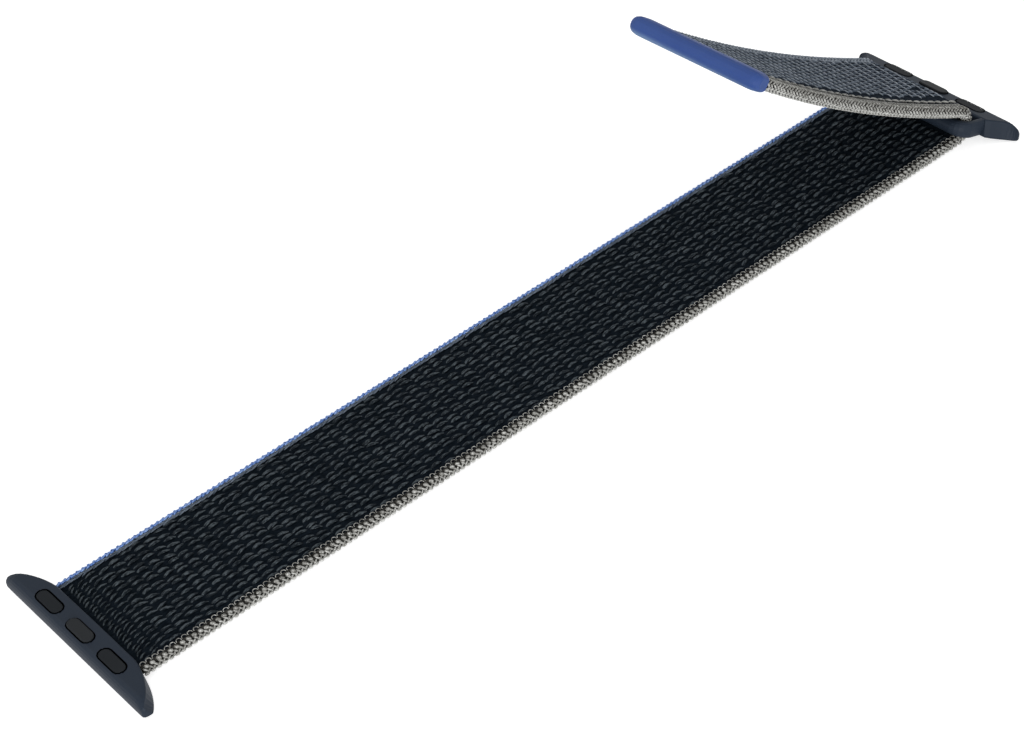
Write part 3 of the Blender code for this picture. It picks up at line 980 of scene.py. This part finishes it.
@dataclass
class Selvage:
    """A knitted edge: horseshoes on the loop side, knit round the edge and a chain on the weave side.

    Angles, headings and their jitter are in degrees.
    """

    edge: Edge
    colour: str
    seed: int
    pitch: float = 0.95 * MM
    vee_pitch: float = 0.80 * MM
    centre: float = 10.05 * MM
    chain_pitch: float = 1.87 * MM
    chain_place: float = 8.22 * MM
    weave_rows: tuple[float, ...] = (10.00 * MM, 9.58 * MM, 9.16 * MM)
    row_height: float = -0.74 * MM
    end_margin: float = 0.3 * MM
    weave_row_step: float = 0.03 * MM
    weave_heading: float = 38.0
    weave_jitter: float = 6.0
    weave_tone: float = 0.4
    chain_height: float = -0.60 * MM
    tail_chain_height: float = -0.76 * MM
    chain_phase: float = 0.6
    chain_heading: float = 18.0
    chain_jitter: float = 3.0
    chain_tone: float = 0.7
    angle_jitter: float = 3.0
    heading_jitter: float = 8.0
    slip: float = 0.05 * MM

    def __post_init__(self) -> None:
        """Make the stitches; numbers 1 and 2 are the slate and the pale yarn."""
        self.arc = hook_loop_stitch(f"{self.colour}_arc", 0.38 * MM, 0.06 * MM, radians(200.0))
        self.bump = self.knit("knit", 0.78, 0.44, 0.38, 0.06, taper=0.3, sides=7)
        self.bead = self.knit("bead", 0.64, 0.54, 0.50, 0.0, sides=7)
        self.vee = self.knit("vee", 0.92, 0.36, 0.34, 0.06, taper=0.3, sides=7)
        self.nub = self.knit("nub", 0.44, 0.40, 0.40, 0.0)
        self.strand = self.knit("strand", 0.98, 0.34, 0.32, 0.04, taper=0.3)
        self.link = self.knit("link", 1.66, 0.52, 0.46, 0.12, taper=0.2, sides=10, rings=6, plies=5, point=0.45)
        self.plain = self.knit("plain", 0.86, 0.34, 0.30, 0.05, number=1)
        self.streak = self.knit("streak", 1.50, 0.24, 0.22, 0.08, number=1)
        self.tile = self.knit("tile", 0.80, 0.60, 0.56, 0.0, sides=8, plies=4)
        self.pale = self.knit("pale", 0.86, 0.36, 0.34, 0.05, number=2)

    def knit(self, name: str, *sizes: float, **settings: float) -> Stitch:
        """A stitch of this edge, by its length, width, thickness and rise in millimetres."""
        settings = {"sides": 6, "rings": 5, **settings}
        return float_stitch(f"{self.colour}_{name}", *(size * MM for size in sizes), **settings)

    def outer(self, stretch: Stretch) -> Stitch:
        """The stitch of the far edge's outer rows: pale on the tail, and slate elsewhere."""
        return self.pale if stretch.on_tail else self.plain

    def rows(self, stretch: Stretch) -> list[KnitRow]:
        """The rows round the edge of one stretch.

        Args:
            stretch: The stretch.

        Returns:
            The rows, from the loops' face to the weave's face.
        """
        if self.edge is Edge.FAR:
            return [KnitRow(self.streak, 114.0, self.pitch, 0.0, 9.0, 0.0, 0.88 * MM),
                    KnitRow(self.streak, 99.0, self.pitch, 0.5, -9.0, 0.0, 0.84 * MM),
                    KnitRow(self.strand, 79.0, self.vee_pitch, 0.0, 16.0, 0.1, 0.90 * MM),
                    KnitRow(self.strand, 60.0, self.vee_pitch, 0.5, -16.0, 0.4, 0.92 * MM),
                    KnitRow(self.nub, 44.0, self.pitch, 0.3, 0.0, 0.0, 1.00 * MM, 0.2),
                    KnitRow(self.strand, 36.0, self.vee_pitch, 0.1, 16.0, 0.0, 0.84 * MM),
                    KnitRow(self.bump, 18.0, self.vee_pitch, 0.6, -26.0, 0.0),
                    *(KnitRow(self.outer(stretch), angle, self.vee_pitch, 0.5 * (i % 2),
                              36.0 if i % 2 else -36.0) for i, angle in enumerate((-10.0, -36.0, -62.0, -86.0)))]
        if not stretch.on_tail:
            return [KnitRow(self.arc, 80.0, self.pitch, 0.0, 0.0, 0.0, 0.90 * MM, 0.6),
                    KnitRow(self.tile, 48.0, self.pitch, 0.35, 24.0, 0.0, 0.78 * MM, 0.7),
                    KnitRow(self.strand, 20.0, self.vee_pitch, 0.0, 44.0, 0.0, 0.80 * MM, 0.6),
                    KnitRow(self.strand, 2.0, self.vee_pitch, 0.5, -44.0, 0.0, 0.78 * MM, 0.5),
                    KnitRow(self.tile, -24.0, self.pitch, 0.0, 0.0, 0.8, 0.90 * MM),
                    KnitRow(self.bead, -58.0, self.pitch, 0.5, 0.0, 0.2, 0.72 * MM)]
        # On the tail the rows nearer its underside, the loops' face, get lighter tones: painted light from
        # below. The random spread within each row is the yarn's own.
        tones_with_painted_light = ((80.0, 0.5, 1.0), (50.0, 0.8, 1.0), (22.0, 0.8, 1.0), (-6.0, 0.2, 0.9), (-34.0, 0.0, 0.6),
                 (-64.0, 0.0, 0.4))
        return [KnitRow(self.vee, angle, self.vee_pitch, 0.5 * (i % 2), 38.0 if i % 2 else -38.0, low,
                        high_tone=high) for i, (angle, low, high) in enumerate(tones_with_painted_light)]

    def build(self, band: Band) -> None:
        """Add the selvage of every stretch.

        Args:
            band: The band that carries it.
        """
        draw = random.Random(self.seed)
        materials = getattr(band.finishes, self.colour), band.finishes.slate, band.finishes.pale
        for stretch in band.stretches:
            patch = Patch(band, stretch, draw)
            for row in self.rows(stretch):
                self.add_row(patch, row)
            self.add_weave_rows(patch)
            if self.edge is Edge.NEAR:
                self.add_chain(patch)
            patch.finish(f"{self.colour}_selvage", *materials)

    def add_row(self, patch: Patch, row: KnitRow) -> None:
        """Add one row of stitches round the edge.

        Args:
            patch: The mesh being made.
            row: The row.
        """
        side, end = self.edge.value, patch.line.end
        for i in range(int(end / row.pitch)):
            distance = (i + 0.5 + row.phase) * row.pitch
            angle = radians(row.angle + patch.jitter(self.angle_jitter))
            heading = radians(row.heading * side + patch.jitter(self.heading_jitter))
            slip = patch.jitter(self.slip)
            tone = row.low_tone + (row.high_tone - row.low_tone) * patch.draw.random()
            if patch.stretch.holds(distance) and distance < end - self.end_margin:
                across = side * (self.centre + row.radius * cos(angle))
                height, roll = row.radius * sin(angle), -side * (pi / 2 - angle)
                patch.sew(row.stitch, tone, distance + slip, across, height, roll, heading)

    def add_weave_rows(self, patch: Patch) -> None:
        """Add the rows of knit on the weave side, beside the edge.

        Args:
            patch: The mesh being made.
        """
        stitch = self.vee if self.edge is Edge.NEAR else self.outer(patch.stretch)
        end = patch.line.end
        for row, across in enumerate(self.weave_rows):
            height = self.row_height + self.weave_row_step * row
            for i in range(int(end / self.vee_pitch)):
                distance = (i + 0.5 * (row % 2)) * self.vee_pitch
                lean = self.weave_heading if row % 2 else -self.weave_heading
                heading = radians(lean + patch.jitter(self.weave_jitter))
                tone = patch.draw.random() * self.weave_tone
                if patch.stretch.holds(distance) and self.end_margin < distance < end - self.end_margin:
                    patch.sew(stitch, tone, distance, self.edge.value * across, height, pi, heading)

    def add_chain(self, patch: Patch) -> None:
        """Add the chain at the inner border of the knit, on the weave side.

        Args:
            patch: The mesh being made.
        """
        side, end = self.edge.value, patch.line.end
        height = self.tail_chain_height if patch.stretch.on_tail else self.chain_height
        for i in range(int(end / self.chain_pitch)):
            distance = (i + self.chain_phase) * self.chain_pitch
            heading = radians(self.chain_heading * side + patch.jitter(self.chain_jitter))
            tone = self.chain_tone + (1.0 - self.chain_tone) * patch.draw.random()
            if patch.stretch.holds(distance) and distance < end - 3 * self.end_margin:
                patch.sew(self.link, tone, distance, side * self.chain_place, height, pi, heading)


@dataclass
class HookTape:
    """The hook tape under the tail, with its small hooks."""

    seed: int = 5
    rings: int = 60
    start: float = 7.0 * MM
    end_margin: float = 4.5 * MM
    half_width: float = 9.0 * MM
    half_thickness: float = 0.16 * MM
    height: float = 0.98 * MM
    hook_height: float = 1.08 * MM
    hook_margin: float = 0.6 * MM
    pitch: float = 0.95 * MM
    turn: float = 0.3

    def build(self, band: Band) -> None:
        """Add the tape and its hooks.

        Args:
            band: The band that carries it.
        """
        first, last = band.line.tail_start + self.start, band.line.end - self.end_margin
        tape = Stretch(11, first, last, "tail", "tail", 0.0, 0.0, ())
        patch = Patch(band, tape, random.Random(self.seed))
        patch.shape = straight_bar(last - first, self.half_width, self.half_thickness, self.rings)
        band.bend(patch.shape, tape, self.height)
        hook = float_stitch("small_hook", 0.50 * MM, 0.20 * MM, 0.18 * MM, 0.22 * MM, sides=6, rings=5)
        for i in range(int((last - first - self.pitch) / self.pitch)):
            for j in range(int(2 * self.half_width / self.pitch)):
                y = -self.half_width + (j + 0.5 + 0.5 * (i % 2)) * self.pitch
                tone = patch.draw.random()
                if abs(y) < self.half_width - self.hook_margin:
                    patch.sew(hook, tone, first + (i + 1) * self.pitch, y, self.hook_height, 0.0,
                              patch.jitter(self.turn))
        piece = band.finish_piece("hook_tape_face", patch.shape, tape, "hook_tape", band.finishes.hooks)
        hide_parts("hook_tape")


# The lugs


def dress_cad_nodes(finishes: Finishes) -> None:
    """Give every CAD node that stays its own finish.

    Args:
        finishes: The strap's materials.
    """
    kinds = (
        ("_body", finishes.lug), ("_closing_plate", finishes.steel), ("_pad", finishes.elastomer),
        ("_latch", finishes.latch), ("_spring", finishes.steel), ("pull_tab", finishes.tab),
    )
    for name, node in NODES.items():
        for ending, material in kinds:
            if name.endswith(ending):
                for slot in node.material_slots:
                    slot.material = material
                LOG.info("%s: %s", name, material.name)


def lug_face(lug: str) -> tuple[Vector, float]:
    """The flat face of a lug that holds its pads.

    Args:
        lug: The lug's body.

    Returns:
        The face's normal, and its height along that normal.
    """
    least_rise, same_way, least_area = 0.5, 0.999, 0.2 * MM * MM
    polygons = NODES[f"{lug}_body"].data.polygons
    areas: dict[tuple, float] = {}
    for polygon in polygons:
        key = tuple(round(value, 2) for value in polygon.normal)
        if polygon.normal.z > least_rise:
            areas[key] = areas.get(key, 0.0) + polygon.area
    rough = Vector(max(areas, key=areas.get)).normalized()
    faces = [polygon for polygon in polygons
             if polygon.normal.dot(rough) > same_way and polygon.area > least_area]
    top = max(faces, key=lambda polygon: polygon.normal.dot(polygon.center))
    return top.normal.copy(), top.normal.dot(top.center)


def shorten_springs() -> None:
    """Give each lug's two springs their own copies of their meshes.
    """
    for lug, joint in (("fixed_lug", "fixed_latch_press"), ("slotted_lug", "slotted_latch_press")):
        normal, _ = lug_face(lug)
        for side in ("far", "near"):
            spring = NODES[f"{lug}_{side}_spring"]
            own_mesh(spring)


@dataclass
class PadSeamShade:
    """A thin flat near-black ring round each pad and latch on a lug's face: painted shade that stands in for the
    shadow in the seam.
    """

    width: float = 0.20 * MM
    clearance: float = 0.01 * MM
    lift: float = 0.03 * MM
    depth: float = 0.03 * MM
    reach: float = 0.30 * MM

    def build(self, finishes: Finishes) -> None:
        """Add the six rings of painted seam shade.

        Args:
            finishes: The strap's materials.
        """
        for lug in ("fixed_lug", "slotted_lug"):
            normal, height = lug_face(lug)
            for insert in ("far_pad", "latch", "near_pad"):
                shape = self.ring(NODES[f"{lug}_{insert}"].data, normal, height)
                piece = add_mesh(f"{lug}_{insert}_seam_shade", shape, finishes.gap)
                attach(piece, lug)

    def ring(self, mesh: Mesh, normal: Vector, height: float) -> BMesh:
        """A thin flat ring round the outline of a pad, at the lug's face.

        Args:
            mesh: The pad's mesh.
            normal: Normal of the lug's face.
            height: Height of the lug's face along its normal.

        Returns:
            The ring.
        """
        side = Vector((0.0, 1.0, 0.0)).cross(normal)
        points = [vertex.co for vertex in mesh.vertices if vertex.co.dot(normal) > height - self.reach]
        flat = [Vector((point.dot(side), point.y)) for point in points]
        hull = [flat[index] for index in geometry.convex_hull_2d(flat)]
        centre = sum(hull, Vector((0.0, 0.0))) / len(hull)
        shape = bmesh.new()
        rims = ([], [])
        for before, corner, after in zip(hull[-1:] + hull[:-1], hull, hull[1:] + hull[:1]):
            first, second = (edge.orthogonal().normalized() for edge in (corner - before, after - corner))
            mitre = (first + second) / (1.0 + first.dot(second))
            outward = mitre if mitre.dot(corner - centre) > 0.0 else -mitre
            for rim, offset in zip(rims, (self.clearance, self.width)):
                point = corner + outward * offset
                place = side * point.x + normal * (height + self.lift)
                rim.append(shape.verts.new((place.x, point.y, place.z)))
        inner, outer = rims
        for i in range(len(hull)):
            shape.faces.new((inner[i - 1], inner[i], outer[i], outer[i - 1]))
        bmesh.ops.solidify(shape, geom=list(shape.faces), thickness=self.depth)
        bmesh.ops.recalc_face_normals(shape, faces=shape.faces)
        return shape


@dataclass
class Studio:
    """The floor, the lights and the camera."""

    camera_place: Triple = (-163.53 * MM, -221.95 * MM, 230.56 * MM)
    camera_right: Triple = (0.7577, -0.6438, -0.1069)
    camera_up: Triple = (0.4822, 0.4419, 0.7564)
    lens: float = 86.35
    world_level: float = 0.50
    floor_glow: float = 0.66
    floor_colour: float = 0.80
    floor_size: float = 2.0
    floor_drop: float = 0.02 * MM
    near_clip: float = 0.01

    def build(self) -> None:
        """Add everything that isn't the strap."""
        self.add_floor()
        self.add_world()
        self.add_light("key light", (-0.30, 0.45, 0.75), size=0.55, power=1.4)
        self.add_light("low side light", (-0.42, -0.62, 0.16), size=0.45, power=4.6)
        self.add_camera()

    def add_floor(self) -> None:
        """Add a pale floor that keeps the strap's shadow, looks white to the camera and is clear from below."""
        shape = bmesh.new()
        bmesh.ops.create_grid(shape, x_segments=1, y_segments=1, size=self.floor_size,
                              matrix=Matrix.Translation((0.0, 0.0, -self.floor_drop)))
        sheet = ShaderSheet("pale studio floor")
        sheet.set(Base_Color=(*(self.floor_colour,) * 3, 1.0), Roughness=0.9, Specular_IOR_Level=0.0)
        strength = sheet.maths("MULTIPLY", sheet.seen(), self.floor_glow)
        glow = sheet.node("ShaderNodeEmission", {"Color": (1.0, 1.0, 1.0, 1.0), "Strength": strength})
        both = sheet.node("ShaderNodeAddShader", {0: sheet.shader.outputs["BSDF"], 1: glow.outputs[0]})
        below = sheet.node("ShaderNodeNewGeometry").outputs["Backfacing"]
        clear = sheet.node("ShaderNodeBsdfTransparent")
        sides = sheet.node("ShaderNodeMixShader", {0: below, 1: both.outputs[0], 2: clear.outputs[0]})
        sheet.link(sides.outputs[0], sheet.output.inputs["Surface"])
        floor = add_mesh("floor", shape, sheet.material)

    def add_world(self) -> None:
        """Light the scene evenly from all round, with a white background for the camera."""
        world = bpy.data.worlds.new("studio")
        bpy.context.scene.world = world
        world.use_nodes = True
        sheet = NodeSheet(world.node_tree)
        strength = sheet.maths("MULTIPLY_ADD", sheet.seen(), 1.0 - self.world_level, self.world_level)
        background = sheet.tree.nodes["Background"]
        background.inputs["Color"].default_value = (1.0, 1.0, 1.0, 1.0)
        sheet.link(strength, background.inputs["Strength"])

    def add_light(self, name: str, place: Triple, size: float, power: float) -> None:
        """Add a square soft light that faces the strap.

        Args:
            name: The light's name.
            place: Where it stands, in metres.
            size: Length of its side.
            power: Its power in watts.
        """
        lamp = bpy.data.lights.new(name, "AREA")
        lamp.size = size
        lamp.energy = power
        light = add_object(name, lamp)
        light.location = place
        light.rotation_euler = (-Vector(place)).to_track_quat("-Z", "Y").to_euler()

    def add_camera(self) -> None:
        """Add the camera at the photograph's angle."""
        camera = bpy.data.cameras.new("camera")
        camera.lens = self.lens
        camera.clip_start = self.near_clip
        holder = add_object("camera", camera)
        right = Vector(self.camera_right).normalized()
        up = (Vector(self.camera_up) - right * right.dot(Vector(self.camera_up))).normalized()
        back = right.cross(up)
        turn = Matrix((right, up, back)).transposed().to_4x4()
        holder.matrix_world = Matrix.Translation(self.camera_place) @ turn
        bpy.context.scene.camera = holder
        bpy.context.scene.view_settings.view_transform = "Standard"


def main() -> None:
    """Build the strap's visible pieces and the studio round them."""
    logging.basicConfig(level=logging.INFO, format="%(message)s")
    finishes = Finishes()
    band = Band(StrapLine(), finishes)
    for part in (Core(), LoopFace(), WeaveFace(), Selvage(Edge.NEAR, "grey", 31), Selvage(Edge.FAR, "blue", 37),
                 HookTape()):
        part.build(band)
    dress_cad_nodes(finishes)
    shorten_springs()
    PadSeamShade().build(finishes)
    Studio().build()


if __name__ == "__main__":
    main()
